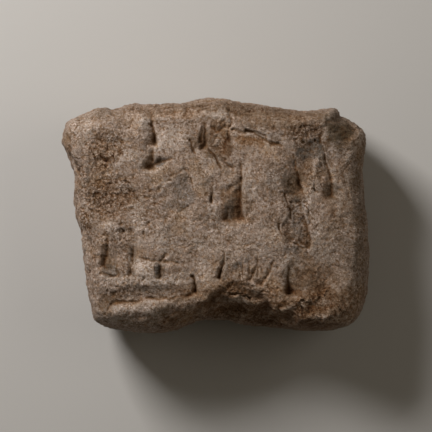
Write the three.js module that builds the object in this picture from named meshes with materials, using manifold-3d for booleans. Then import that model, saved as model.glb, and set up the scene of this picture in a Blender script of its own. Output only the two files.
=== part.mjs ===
// A small inscribed clay tablet, moulded in the hand, pressed with a reed stylus, then worn and chipped.
// It lies on its back with the written face up. Millimetres, +Z up, +X along the lines of writing,
// +Y towards the first line. The origin is on the surface it lies on, under the middle of its outline.
import * as THREE from 'three';
import { ConvexGeometry } from 'three/addons/geometries/ConvexGeometry.js';
import { mergeVertices } from 'three/addons/utils/BufferGeometryUtils.js';
import Module from 'manifold-3d';

const wasm = await Module();
wasm.setup();

// Driving sizes. Places below are millimetres from the middle of the tablet, as seen from above.
const LENGTH = 52;
const WIDTH = 40;
const THICKNESS = 19;
const RIM_HEIGHT = 0.47 * THICKNESS; // the widest section, where the upper and lower edges meet

// The outline, clockwise from the upper left corner. Each side starts with its corner.
const TOP_SIDE = [
  [-25.1, 16.0], [-23.6, 16.9], [-22.0, 17.6], [-20.6, 18.2], [-18.9, 18.3], [-17.9, 18.0],
  [-14.8, 18.9], [-6.0, 19.0], [-0.6, 19.8], [4.0, 19.3], [11.8, 18.0], [16.5, 17.8],
  [18.8, 18.1], [20.1, 18.1], [20.6, 17.5], [20.8, 16.8], [22.6, 16.1],
];
const RIGHT_SIDE = [
  [24.5, 14.8], [25.2, 13.3], [24.8, 8.5], [25.1, 5.0], [25.6, -1.5], [25.8, -8.0], [25.3, -13.4],
];
const BOTTOM_SIDE = [
  [23.6, -17.7], [20.6, -19.2], [15.0, -19.4], [7.5, -18.8], [1.8, -17.7], [-2.6, -17.7],
  [-5.6, -18.7], [-9.3, -19.7], [-17.8, -19.0],
];
const LEFT_SIDE = [
  [-20.5, -17.6], [-21.2, -14.6], [-22.4, -6.0], [-23.0, -1.8], [-23.9, 2.6], [-24.0, 6.6],
  [-24.9, 10.2], [-25.8, 12.8],
];
const SIDES = [TOP_SIDE, RIGHT_SIDE, BOTTOM_SIDE, LEFT_SIDE];

// How far the rounding reaches in from the outline on each side of the written face and of the back.
const FACE_EDGE = { top: 3.4, right: 5.8, bottom: 4.8, left: 3.2 };
const BACK_EDGE = { top: 5.5, right: 6.0, bottom: 5.5, left: 5.0 };
const EDGE_ROUNDNESS = 2.7; // the exponent of the edge's superellipse: 2 is round, more is squarer
const FACE_CROWN = 0.9; // how much lower the written face lies at its border than in its middle
const BACK_CROWN = 2.4;
const FOOT_DEPTH = 0.55; // how much of the bulging back is pressed flat, where the tablet lies

// Mesh steps. The back is half as fine as the face.
const COLUMNS = 48;
const ROWS = 36;
const UPPER_RINGS = 4;
const LOWER_RINGS = 4;

// Soft hollows and swellings of the written face: [x, y, half length, half width, turn in degrees, depth].
// A negative depth is a swelling.
const DENTS = [
  [-23.2, 14.2, 3.0, 3.0, 20, -0.4], // the full upper left corner
  [-19.0, 10.6, 2.6, 4.4, 0, 0.4], // the worn hollow below it
  [-12.6, 14.8, 1.3, 3.0, 0, -0.7], // the swellings beside the two upper strokes
  [-13.4, 9.2, 1.2, 1.7, 0, -0.35],
  [-18.5, 3.2, 6.0, 3.4, -5, 0.45], // the worn patch at the left
  [-18.0, -1.9, 1.9, 1.1, 0, -0.35],
  [-13.2, -7.2, 2.2, 1.6, -30, 0.45],
  [-7.4, 13.2, 2.8, 3.6, 0, -0.25], // the smooth field beside the upper strokes
  [0.4, 17.4, 1.9, 1.2, 0, -0.4], // the smooth lump at the top
  [0.8, 13.2, 2.5, 3.4, 0, 0.8], // the flake lost below it
  [6.4, 14.8, 3.8, 1.4, -16, -0.4], // the flap above the crack
  [9.0, 4.6, 3.0, 4.6, 0, -0.35], // the smooth field at the right of the middle
  [-10.0, 1.0, 3.4, 2.0, 20, 0.25],
  [15.8, 11.2, 2.1, 1.3, 15, 0.5],
  [16.2, 13.0, 3.0, 2.2, 0, 0.5], // the hollow between the strokes at the upper right
  [16.9, 9.3, 0.6, 1.8, -25, -0.4],
  [22.0, 14.4, 3.2, 2.4, -30, 0.9], // the chip below the upper right corner
  [27.5, -1.0, 10.0, 20.0, 0, 1.0], // the long slope down to the right edge
  [17.6, -9.4, 3.6, 4.0, 0, 0.5],
  [20.6, -17.0, 5.0, 1.7, 0, -0.7], // the full lower right edge
  [3.8, -14.4, 5.6, 3.4, 0, 1.0], // the shelf above the broken edge
  [-11.4, -15.4, 6.8, 1.2, 4, -0.45], // the lower left ridge
  [-6.5, -16.8, 4.0, 1.8, 12, 0.5],
];
const DENT_FALL = 3; // how sharply a hollow's depth falls off: more gives a flatter floor and steeper walls

// Pieces broken away, each the inside of an ellipsoid: [centre x, y, z, half sizes x, y, z].
const BREAKS = [
  [2.0, -26.4, 21, 9.4, 12.6, 11], // the bite out of the lower edge
  [8.5, -25.1, 20.5, 8.0, 10.3, 9.6],
];
const BREAK_SOFTNESS = 0.12; // how worn a break's border is, as a share of the ellipsoid's size

// Strokes of the stylus and cracks: [tail x, y, head x, y, width on the left, on the right, depth at the head].
// Left and right are as seen looking from the tail to the head. Each stroke grows from its tail to its head.
const STROKES = [
  [-10.5, 15.7, -9.9, 12.1, 0.25, 1.8, 1.7],
  [-10.7, 12.0, -10.4, 8.1, 0.35, 2.0, 1.7],
  [-7.4, 9.8, -10.4, 8.7, 0.7, 1.3, 1.4],
  [-3.0, 14.0, -3.2, 11.4, 0.25, 0.9, 0.6],
  [-1.7, 15.2, -1.8, 11.4, 0.6, 1.6, 1.8],
  [4.2, 8.8, 4.4, -0.3, 0.4, 3.5, 1.5],
  [2.6, 2.6, 1.8, -0.7, 1.8, 1.5, 0.9],
  [-0.5, 4.6, -0.6, 2.0, 0.3, 0.45, 0.8],
  [12.9, 10.4, 14.3, 4.4, 0.35, 3.4, 1.05],
  [13.3, 9.9, 14.2, 4.8, 0.25, 0.7, 1.4],
  [17.7, 12.2, 19.2, 6.6, 0.4, 1.0, 0.6],
  [18.8, 6.6, 18.9, 3.6, 1.0, 1.5, 0.9],
  [19.0, 4.7, 20.6, 4.5, 0.4, 0.7, 0.7],
  [17.5, 15.4, 17.8, 12.4, 0.3, 0.7, 0.5],
  [15.0, 15.4, 15.6, 13.4, 0.3, 1.0, 0.6],
  [-18.2, -3.7, -18.4, -8.5, 0.3, 1.4, 1.8],
  [-18.2, -8.4, -17.3, -9.9, 0.5, 0.9, 0.6],
  [-13.9, -4.5, -14.0, -7.5, 0.25, 0.5, 0.6],
  [-14.0, -6.8, -8.6, -7.9, 0.3, 0.5, 0.4],
  [-9.1, -7.9, -9.4, -10.4, 0.3, 1.3, 1.1],
  [-3.7, -10.1, -3.2, -13.1, 0.3, 1.4, 1.3],
  [1.5, -5.8, 0.7, -10.7, 0.35, 0.7, 1.1],
  [7.6, -7.2, 5.8, -11.0, 0.3, 0.8, 0.6],
  [10.0, -7.4, 7.8, -11.6, 0.35, 0.9, 0.8],
  [12.2, -8.6, 12.2, -13.3, 2.4, 0.45, 1.5],
  [15.9, -1.0, 15.6, -5.2, 0.3, 1.3, 1.2],
  [10.9, 12.1, 4.6, 14.2, 0.5, 0.3, 0.45],
  [-1.1, 11.0, 0.7, 8.2, 0.35, 0.35, 0.7],
];
const TAIL_SHARE = 0.3; // a tail's width and depth, as a share of its head's
const STEEP_SHARE = 0.2; // the steep wall's part of a small stroke's width

// Rows of small strokes side by side: [count, first x, step, tail y, head y, width, depth].
const STROKE_ROWS = [
  [2, -16.3, 2.2, -8.0, -9.8, 0.8, 0.5],
  [5, 3.7, 1.07, -4.6, -10.4, 0.5, 0.3],
];

// Broken hollows with one steep wall, given as a stroke is.
const TROUGHS = [
  [-17.6, -14.8, -3.2, -13.3, 2.8, 0.3, 0.8], // above the lower left ridge
  [15.9, 3.9, 15.7, -5.3, 0.3, 4.2, 0.9], // at the right
];
const TROUGH_TAIL_SHARE = 0.55;
const HEAD_RUN = 0.2; // how far a head's wall leans outward, as a share of its width
const CLEARANCE = 3; // a cutter stands this far above the face

// The outline as one closed curve, and evenly spaced points along one side of it.
const rimPoints = SIDES.flat();
const rim = new THREE.CatmullRomCurve3(rimPoints.map(([x, y]) => new THREE.Vector3(x, y, 0)), true);

class SideCurve extends THREE.Curve {
  constructor(side) {
    super();
    this.first = SIDES.slice(0, side).flat().length;
    this.spans = SIDES[side].length;
  }
  getPoint(t) {
    return rim.getPoint(((this.first + t * this.spans) / rimPoints.length) % 1);
  }
}

// The rim as a loop of points: the two long sides have `columns` steps and the two short ones `rows`.
function rimLoop(columns, rows) {
  return SIDES.flatMap((_, side) => new SideCurve(side).getSpacedPoints(side % 2 ? rows : columns).slice(0, -1));
}

// Where the rounding of an edge starts, straight in from a point of the rim.
function inset(point, edge) {
  const widthX = point.x > 0 ? edge.right : edge.left;
  const widthY = point.y > 0 ? edge.top : edge.bottom;
  return new THREE.Vector2(point.x * (1 - (2 * widthX) / LENGTH), point.y * (1 - (2 * widthY) / WIDTH));
}

// Heights of the unmarked face and back.
const outward = (x, y) => (2 * x / LENGTH) ** 2 + (2 * y / WIDTH) ** 2;
const faceHeight = (x, y) => THICKNESS - FACE_CROWN * outward(x, y);
const backHeight = (x, y) => BACK_CROWN * outward(x, y) - FOOT_DEPTH;

// The inside of a four-sided patch whose border is a loop of points, as rows of points.
function patch(loop, columns, rows) {
  const border = (i) => loop[i % loop.length];
  const grid = [];
  for (let r = 0; r <= rows; r++) {
    const v = r / rows;
    const left = border(2 * columns + 2 * rows - r);
    const right = border(columns + r);
    grid.push([]);
    for (let c = 0; c <= columns; c++) {
      const u = c / columns;
      const upper = border(c);
      const lower = border(2 * columns + rows - c);
      const blend = (axis) =>
        (1 - v) * upper[axis] + v * lower[axis] + (1 - u) * left[axis] + u * right[axis] -
        (1 - v) * ((1 - u) * border(0)[axis] + u * border(columns)[axis]) -
        v * ((1 - u) * border(2 * columns + rows)[axis] + u * border(columns + rows)[axis]);
      grid[r].push(new THREE.Vector2(blend('x'), blend('y')));
    }
  }
  return grid;
}

// Depth of the soft hollows at a place on the face.
function dentDepth(x, y) {
  let depth = 0;
  for (const [cx, cy, halfLength, halfWidth, turn, most] of DENTS) {
    const angle = THREE.MathUtils.degToRad(turn);
    const dx = x - cx;
    const dy = y - cy;
    const along = (dx * Math.cos(angle) + dy * Math.sin(angle)) / halfLength;
    const across = (dy * Math.cos(angle) - dx * Math.sin(angle)) / halfWidth;
    depth += most * Math.exp(-(Math.hypot(along, across) ** DENT_FALL));
  }
  return depth;
}

// A point of the moulded slab after wear: dented from above, bitten by the breaks and flat underneath.
function worn(point, faceShare) {
  point.z -= dentDepth(point.x, point.y) * faceShare;
  for (const [x, y, z, ...size] of BREAKS) {
    const centre = new THREE.Vector3(x, y, z);
    const halfSize = new THREE.Vector3(...size);
    const inBreak = point.clone().sub(centre).divide(halfSize);
    const reach = inBreak.length();
    const wornReach = (reach + 1 + Math.hypot(reach - 1, BREAK_SOFTNESS)) / 2;
    point.copy(inBreak.multiplyScalar(wornReach / reach).multiply(halfSize).add(centre));
  }
  point.z = Math.max(point.z, 0);
  return point;
}

// The slab's surface, as one closed mesh: the face, rings down over the edge, and the coarser back.
function slabGeometry() {
  const points = [];
  const triangles = [];
  const add = (point, faceShare) => points.push(worn(point, faceShare)) - 1;
  const quad = (a, b, c, d) => triangles.push(a, b, c, a, c, d);

  // Adds a patch of the face or back, and gives the indices of its border as a loop.
  function addPatch(loop, columns, rows, height, faceShare) {
    const index = patch(loop, columns, rows).map((row) =>
      row.map((p) => add(new THREE.Vector3(p.x, p.y, height(p.x, p.y)), faceShare)),
    );
    for (let r = 0; r < rows; r++)
      for (let c = 0; c < columns; c++) {
        const corners = [index[r][c], index[r + 1][c], index[r + 1][c + 1], index[r][c + 1]];
        quad(...(faceShare ? corners : corners.reverse()));
      }
    return [
      ...index[0].slice(0, -1),
      ...index.slice(0, -1).map((row) => row[columns]),
      ...index[rows].slice(1).reverse(),
      ...index.slice(1).map((row) => row[0]).reverse(),
    ];
  }

  // One ring of the edge: `turn` is 0 at the face or back and 1 at the rim.
  function addRing(loop, edge, height, turn, isUpper) {
    const out = Math.sin((turn * Math.PI) / 2) ** (2 / EDGE_ROUNDNESS);
    const up = Math.cos((turn * Math.PI) / 2) ** (2 / EDGE_ROUNDNESS);
    return loop.map((rimPoint) => {
      const inner = inset(rimPoint, edge);
      const z = RIM_HEIGHT + (height(inner.x, inner.y) - RIM_HEIGHT) * up;
      return add(
        new THREE.Vector3(inner.x + (rimPoint.x - inner.x) * out, inner.y + (rimPoint.y - inner.y) * out, z),
        isUpper ? up : 0,
      );
    });
  }

  function join(upper, lower) {
    upper.forEach((_, i) => {
      const next = (i + 1) % upper.length;
      quad(upper[i], upper[next], lower[next], lower[i]);
    });
  }

  // Joins a ring to one with half as many points.
  function joinHalf(fine, coarse) {
    coarse.forEach((_, i) => {
      const next = (i + 1) % coarse.length;
      const [a, b, c] = [fine[2 * i], fine[2 * i + 1], fine[(2 * i + 2) % fine.length]];
      triangles.push(a, b, coarse[i], b, coarse[next], coarse[i], b, c, coarse[next]);
    });
  }

  const fineLoop = rimLoop(COLUMNS, ROWS);
  const coarseLoop = fineLoop.filter((_, i) => i % 2 === 0);
  let ring = addPatch(fineLoop.map((p) => inset(p, FACE_EDGE)), COLUMNS, ROWS, faceHeight, 1);
  for (let k = 1; k <= UPPER_RINGS; k++) {
    const next = addRing(fineLoop, FACE_EDGE, faceHeight, k / UPPER_RINGS, true);
    join(ring, next);
    ring = next;
  }
  for (let k = LOWER_RINGS - 1; k > 0; k--) {
    const next = addRing(coarseLoop, BACK_EDGE, backHeight, k / LOWER_RINGS, false);
    (ring.length === next.length ? join : joinHalf)(ring, next);
    ring = next;
  }
  const back = addPatch(coarseLoop.map((p) => inset(p, BACK_EDGE)), COLUMNS / 2, ROWS / 2, backHeight, 0);
  join(ring, back);

  return new THREE.BufferGeometry().setFromPoints(points).setIndex(triangles);
}

function toSolid(geometry) {
  const bare = new THREE.BufferGeometry().setAttribute('position', geometry.getAttribute('position'));
  const merged = mergeVertices(bare.setIndex(geometry.index), 1e-4);
  return new wasm.Manifold(
    new wasm.Mesh({
      numProp: 3,
      vertProperties: merged.getAttribute('position').array,
      triVerts: new Uint32Array(merged.index.array),
    }),
  );
}

function toGeometry(solid) {
  const { vertProperties, triVerts } = solid.getMesh();
  const geometry = new THREE.BufferGeometry();
  geometry.setAttribute('position', new THREE.BufferAttribute(vertProperties, 3));
  geometry.setIndex(new THREE.BufferAttribute(triVerts, 1));
  geometry.computeVertexNormals();
  return geometry;
}

// The cutter of one stroke: a long three-sided point with its edge down. `tailShare` is the size of its tail.
function strokeCutter([tailX, tailY, headX, headY, left, right, depth], tailShare, surfaceAt) {
  const tail = new THREE.Vector3(tailX, tailY, 0);
  const head = new THREE.Vector3(headX, headY, 0);
  const along = head.clone().sub(tail).normalize();
  const toLeft = new THREE.Vector3(-along.y, along.x, 0);
  const lean = HEAD_RUN * (left + right);
  const corners = [];
  for (const [end, share, run] of [[tail, tailShare, -lean * tailShare], [head, 1, lean]]) {
    const z = surfaceAt(end.x, end.y);
    corners.push(end.clone().setZ(z - depth * share));
    for (const side of [left, -right]) {
      const lip = end.clone().addScaledVector(toLeft, side * share).addScaledVector(along, run).setZ(z);
      corners.push(lip, lip.clone().setZ(z + CLEARANCE));
    }
  }
  return new ConvexGeometry(corners);
}

// The strokes of one row, each leaning to the left as the stylus did.
function strokeRow([count, firstX, step, tailY, headY, width, depth]) {
  return Array.from({ length: count }, (_, i) => {
    const x = firstX + i * step;
    return [x, tailY, x, headY, width * STEEP_SHARE, width * (1 - STEEP_SHARE), depth];
  });
}

function tabletGeometry() {
  const slab = slabGeometry();
  const target = new THREE.Mesh(slab);
  const down = new THREE.Vector3(0, 0, -1);
  const surfaceAt = (x, y) => {
    const ray = new THREE.Raycaster(new THREE.Vector3(x, y, 2 * THICKNESS), down);
    return ray.intersectObject(target)[0].point.z;
  };
  let solid = toSolid(slab);
  const strokes = [...STROKES, ...STROKE_ROWS.flatMap(strokeRow)];
  const cutters = [
    ...strokes.map((stroke) => strokeCutter(stroke, TAIL_SHARE, surfaceAt)),
    ...TROUGHS.map((trough) => strokeCutter(trough, TROUGH_TAIL_SHARE, surfaceAt)),
  ];
  for (const cutter of cutters) solid = solid.subtract(toSolid(cutter));

  const geometry = toGeometry(solid);
  geometry.computeBoundingBox();
  const { min, max } = geometry.boundingBox;
  return geometry.translate(-(min.x + max.x) / 2, -(min.y + max.y) / 2, -min.z);
}

const clay = new THREE.MeshStandardMaterial({ color: 0x9c8470, roughness: 0.95, metalness: 0 });
const tablet = new THREE.Mesh(tabletGeometry(), clay);
tablet.name = 'tablet';

const object = new THREE.Group();
object.add(tablet);
export default object;
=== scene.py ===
import math

import bpy
import numpy as np
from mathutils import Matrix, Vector


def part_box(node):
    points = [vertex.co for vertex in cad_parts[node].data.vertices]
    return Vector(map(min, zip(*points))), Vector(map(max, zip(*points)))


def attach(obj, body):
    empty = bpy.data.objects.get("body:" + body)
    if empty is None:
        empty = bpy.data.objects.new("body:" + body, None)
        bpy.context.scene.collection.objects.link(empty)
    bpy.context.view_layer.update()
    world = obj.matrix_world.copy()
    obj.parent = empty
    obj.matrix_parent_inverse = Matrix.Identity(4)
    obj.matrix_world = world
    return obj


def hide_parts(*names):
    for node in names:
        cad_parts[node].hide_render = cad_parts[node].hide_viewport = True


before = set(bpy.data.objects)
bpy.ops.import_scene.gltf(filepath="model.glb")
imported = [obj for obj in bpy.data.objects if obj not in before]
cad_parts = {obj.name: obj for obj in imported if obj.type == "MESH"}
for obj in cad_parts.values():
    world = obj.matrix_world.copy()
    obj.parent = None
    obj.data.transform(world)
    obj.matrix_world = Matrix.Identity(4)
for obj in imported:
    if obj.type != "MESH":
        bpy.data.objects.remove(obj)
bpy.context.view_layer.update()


# ======================================================================================
# Camera
# It looks straight down on the written face, with the first line of writing at the top,
# from far enough away that the edges are seen almost square on.
# ======================================================================================
MM = 0.001
low, high = (np.array(corner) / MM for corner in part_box("tablet"))
LENGTH, WIDTH, THICKNESS = high - low

LENS = 500
SENSOR = 36
VIEW_WIDTH = 1.42 * LENGTH  # how much the camera takes in at the tablet's widest section
RIM_HEIGHT = 0.47 * THICKNESS

camera_data = bpy.data.cameras.new("camera")
camera_data.lens = LENS
camera_data.sensor_width = SENSOR
camera = bpy.data.objects.new("camera", camera_data)
camera.location = Vector((0, 0, RIM_HEIGHT + VIEW_WIDTH * LENS / SENSOR)) * MM
bpy.context.scene.collection.objects.link(camera)
bpy.context.scene.camera = camera


# ======================================================================================
# The tablet as moulded
# A lump of river clay, patted in the hand into a cushion with a slightly crowned face,
# rounded edges and a bulging back, then laid down damp so that the back has a flat spot.
# ======================================================================================

# The outline, clockwise from the upper left corner. Each side starts with its corner.
TOP_SIDE = [
    (-25.1, 16.0), (-23.6, 16.9), (-22.0, 17.6), (-20.6, 18.2), (-18.9, 18.3), (-17.9, 18.0),
    (-14.8, 18.9), (-6.0, 19.0), (-0.6, 19.8), (4.0, 19.3), (11.8, 18.0), (16.5, 17.8),
    (18.8, 18.1), (20.1, 18.1), (20.6, 17.5), (20.8, 16.8), (22.6, 16.1),
]
RIGHT_SIDE = [(24.5, 14.8), (25.2, 13.3), (24.8, 8.5), (25.1, 5.0), (25.6, -1.5), (25.8, -8.0), (25.3, -13.4)]
BOTTOM_SIDE = [
    (23.6, -17.7), (20.6, -19.2), (15.0, -19.4), (7.5, -18.8), (1.8, -17.7), (-2.6, -17.7),
    (-5.6, -18.7), (-9.3, -19.7), (-17.8, -19.0),
]
LEFT_SIDE = [
    (-20.5, -17.6), (-21.2, -14.6), (-22.4, -6.0), (-23.0, -1.8), (-23.9, 2.6), (-24.0, 6.6),
    (-24.9, 10.2), (-25.8, 12.8),
]
SIDES = [TOP_SIDE, RIGHT_SIDE, BOTTOM_SIDE, LEFT_SIDE]

# How far the rounding reaches in from the outline: left, right, top, bottom.
FACE_EDGE = (3.2, 5.8, 3.4, 4.8)
BACK_EDGE = (5.0, 6.0, 5.5, 5.5)
EDGE_REACH = 0.11 * WIDTH  # about as much, to space the rings by
EDGE_ROUNDNESS = 2.7
FACE_CROWN = 0.9
BACK_CROWN = 2.4
FOOT_DEPTH = 0.55

# Steps of the mesh. Below the rim and on the back it is half as fine.
COLUMNS = 232
ROWS = 166
UPPER_RINGS = 42
LOWER_RINGS = 24

# Finer steps along curves, before these are divided evenly.
CURVE_STEPS = 40
TURN_STEPS = 600


def side_curve(side):
    """Fine points along one side of the outline, on a centripetal Catmull-Rom curve."""
    loop = np.array([point for points in SIDES for point in points])
    first = sum(len(points) for points in SIDES[:side])
    fine = []
    for i in range(first, first + len(SIDES[side])):
        a, b, c, d = (loop[(i + k) % len(loop)] for k in (-1, 0, 1, 2))
        before, here, after = (math.sqrt(np.linalg.norm(q - p)) for p, q in ((a, b), (b, c), (c, d)))
        start = ((b - a) / before - (c - a) / (before + here) + (c - b) / here) * here
        end = ((c - b) / here - (d - b) / (here + after) + (d - c) / after) * here
        t = np.linspace(0, 1, CURVE_STEPS)[:, None]
        fine.append(
            (2 * t**3 - 3 * t**2 + 1) * b + (t**3 - 2 * t**2 + t) * start
            + (3 * t**2 - 2 * t**3) * c + (t**3 - t**2) * end
        )
    return np.concatenate(fine)


def outline_loop(columns, rows):
    """The outline as evenly spaced points, `columns` along each long side and `rows` along each short one."""
    loop = []
    for side in range(4):
        fine = side_curve(side)
        steps = rows if side % 2 else columns
        run = np.concatenate([[0], np.cumsum(np.linalg.norm(np.diff(fine, axis=0), axis=1))])
        places = np.linspace(0, run[-1], steps + 1)[:-1]
        loop.append(np.stack([np.interp(places, run, fine[:, axis]) for axis in (0, 1)], axis=1))
    return np.concatenate(loop)


def inset(loop, edge):
    """Where the rounding of an edge starts, straight in from each point of the outline."""
    left, right, top, bottom = edge
    x, y = loop.T
    share_x = 2 * np.where(x > 0, right, left) / LENGTH
    share_y = 2 * np.where(y > 0, top, bottom) / WIDTH
    return np.stack([x * (1 - share_x), y * (1 - share_y)], axis=1)


def outward(x, y):
    return (2 * x / LENGTH) ** 2 + (2 * y / WIDTH) ** 2


def face_height(x, y):
    return THICKNESS - FACE_CROWN * outward(x, y)


def back_height(x, y):
    return BACK_CROWN * outward(x, y) - FOOT_DEPTH


def filled(loop, columns, rows):
    """The four-sided patch inside a loop, as a grid of points."""
    upper = loop[: columns + 1]
    right = loop[columns : columns + rows + 1]
    lower = loop[columns + rows : 2 * columns + rows + 1][::-1]
    left = np.concatenate([loop[2 * columns + rows :], loop[:1]])[::-1]
    u = np.linspace(0, 1, columns + 1)[None, :, None]
    v = np.linspace(0, 1, rows + 1)[:, None, None]
    corners = (1 - v) * ((1 - u) * upper[0] + u * upper[-1]) + v * ((1 - u) * lower[0] + u * lower[-1])
    return (1 - v) * upper + v * lower + (1 - u) * left[:, None] + u * right[:, None] - corners


def even_turns(rings, reach, height):
    """Angles round the edge's superellipse that give rings the same distance apart."""
    angle = np.linspace(0, math.pi / 2, TURN_STEPS)
    out = reach * np.sin(angle) ** (2 / EDGE_ROUNDNESS)
    up = height * np.cos(angle) ** (2 / EDGE_ROUNDNESS)
    run = np.concatenate([[0], np.cumsum(np.hypot(np.diff(out), np.diff(up)))])
    return np.interp(np.linspace(0, run[-1], rings + 1), run, angle)


def moulded_slab():
    """Points, faces and how much each point belongs to the written face, from 1 on it to 0 below the rim."""
    points = []
    shares = []
    faces = []

    def add(xy, z, share):
        start = sum(len(block) for block in points)
        points.append(np.column_stack([xy, z]))
        shares.append(np.broadcast_to(share, len(xy)))
        return np.arange(start, start + len(xy))

    def add_patch(loop, columns, rows, height, share):
        xy = filled(loop, columns, rows).reshape(-1, 2)
        grid = add(xy, height(*xy.T), share).reshape(rows + 1, columns + 1)
        quads = np.stack([grid[:-1, :-1], grid[1:, :-1], grid[1:, 1:], grid[:-1, 1:]], axis=-1).reshape(-1, 4)
        faces.extend((quads if share else quads[:, ::-1]).tolist())
        return np.concatenate([grid[0, :-1], grid[:-1, -1], grid[-1, :0:-1], grid[:0:-1, 0]])

    def add_ring(loop, edge, height, turn, is_upper):
        inner = inset(loop, edge)
        out = math.sin(turn) ** (2 / EDGE_ROUNDNESS)
        up = math.cos(turn) ** (2 / EDGE_ROUNDNESS)
        z = RIM_HEIGHT + (height(*inner.T) - RIM_HEIGHT) * up
        return add(inner + (loop - inner) * out, z, up if is_upper else 0)

    def join(upper, lower):
        nexts = np.roll(upper, -1), np.roll(lower, -1)
        faces.extend(np.stack([upper, nexts[0], nexts[1], lower], axis=1).tolist())

    def join_half(fine, coarse):
        a, b, c = fine[0::2], fine[1::2], np.roll(fine, -2)[0::2]
        nexts = np.roll(coarse, -1)
        for triangle in ((a, b, coarse), (b, nexts, coarse), (b, c, nexts)):
            faces.extend(np.stack(triangle, axis=1).tolist())

    fine_loop = outline_loop(COLUMNS, ROWS)
    coarse_loop = fine_loop[::2]
    ring = add_patch(inset(fine_loop, FACE_EDGE), COLUMNS, ROWS, face_height, 1)
    for turn in even_turns(UPPER_RINGS, EDGE_REACH, THICKNESS - RIM_HEIGHT)[1:]:
        wider = add_ring(fine_loop, FACE_EDGE, face_height, turn, True)
        join(ring, wider)
        ring = wider
    for turn in even_turns(LOWER_RINGS, EDGE_REACH, RIM_HEIGHT)[-2:0:-1]:
        lower = add_ring(coarse_loop, BACK_EDGE, back_height, turn, False)
        (join if len(ring) == len(lower) else join_half)(ring, lower)
        ring = lower
    back = add_patch(inset(coarse_loop, BACK_EDGE), COLUMNS // 2, ROWS // 2, back_height, 0)
    join(ring, back)
    return np.concatenate(points), faces, np.concatenate(shares)


slab, slab_faces, face_share = moulded_slab()
slab[:, :2] -= (slab[:, :2].min(axis=0) + slab[:, :2].max(axis=0)) / 2
x, y = slab[:, :2].T

tablet_mesh = bpy.data.meshes.new("tablet")
tablet_mesh.from_pydata(slab * MM, [], slab_faces)
tablet_mesh.update()


# ======================================================================================
# Wear
# Where the dried clay was rubbed, chipped and bitten away: soft hollows and swellings,
# pieces broken off the lower edge, flakes gone from the face with a crisp border, and cracks.
# ======================================================================================
NOISE_DIRECTIONS = 256
NOISE_REACH = 1.7  # brings the noise to about -1 to 1


def bumps(points, size, seed):
    """Smooth noise between about -1 and 1, with bumps `size` millimetres across."""
    rng = np.random.default_rng(seed)
    slopes = rng.normal(size=(NOISE_DIRECTIONS, 3))
    slopes /= np.linalg.norm(slopes, axis=1, keepdims=True)
    order = rng.permutation(NOISE_DIRECTIONS)
    scaled = points / size
    cell = np.floor(scaled).astype(int)
    inside = scaled - cell
    fade = inside**3 * (inside * (inside * 6 - 15) + 10)
    total = np.zeros(len(points))
    for corner in np.ndindex(2, 2, 2):
        key = np.zeros(len(points), int)
        for axis in range(3):
            key = order[(key + cell[:, axis] + corner[axis]) % NOISE_DIRECTIONS]
        weight = np.prod(np.where(corner, fade, 1 - fade), axis=1)
        total += weight * np.einsum("ij,ij->i", slopes[key], inside - corner)
    return total * NOISE_REACH


def layered(points, size, seed):
    """Bumps with two finer layers of bumps on them."""
    return sum(0.5**k * bumps(points, size / 2**k, seed + k) for k in range(3))


def wandering(values, seed):
    """Coordinates shifted to and fro by up to about 0.4 mm, so that no border on the clay is ruled."""
    return values + 0.28 * bumps(slab, 2.0, seed) + 0.12 * bumps(slab, 0.7, seed + 1)


def smooth_step(value, start, end):
    t = np.clip((value - start) / (end - start), 0, 1)
    return t * t * (3 - 2 * t)


def ellipse_distance(x, y, centre_x, centre_y, half_length, half_width, turn=0):
    """Distance from the middle of an ellipse: 1 on its border."""
    angle = math.radians(turn)
    dx, dy = x - centre_x, y - centre_y
    along = (dx * math.cos(angle) + dy * math.sin(angle)) / half_length
    across = (dy * math.cos(angle) - dx * math.sin(angle)) / half_width
    return np.hypot(along, across)


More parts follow.
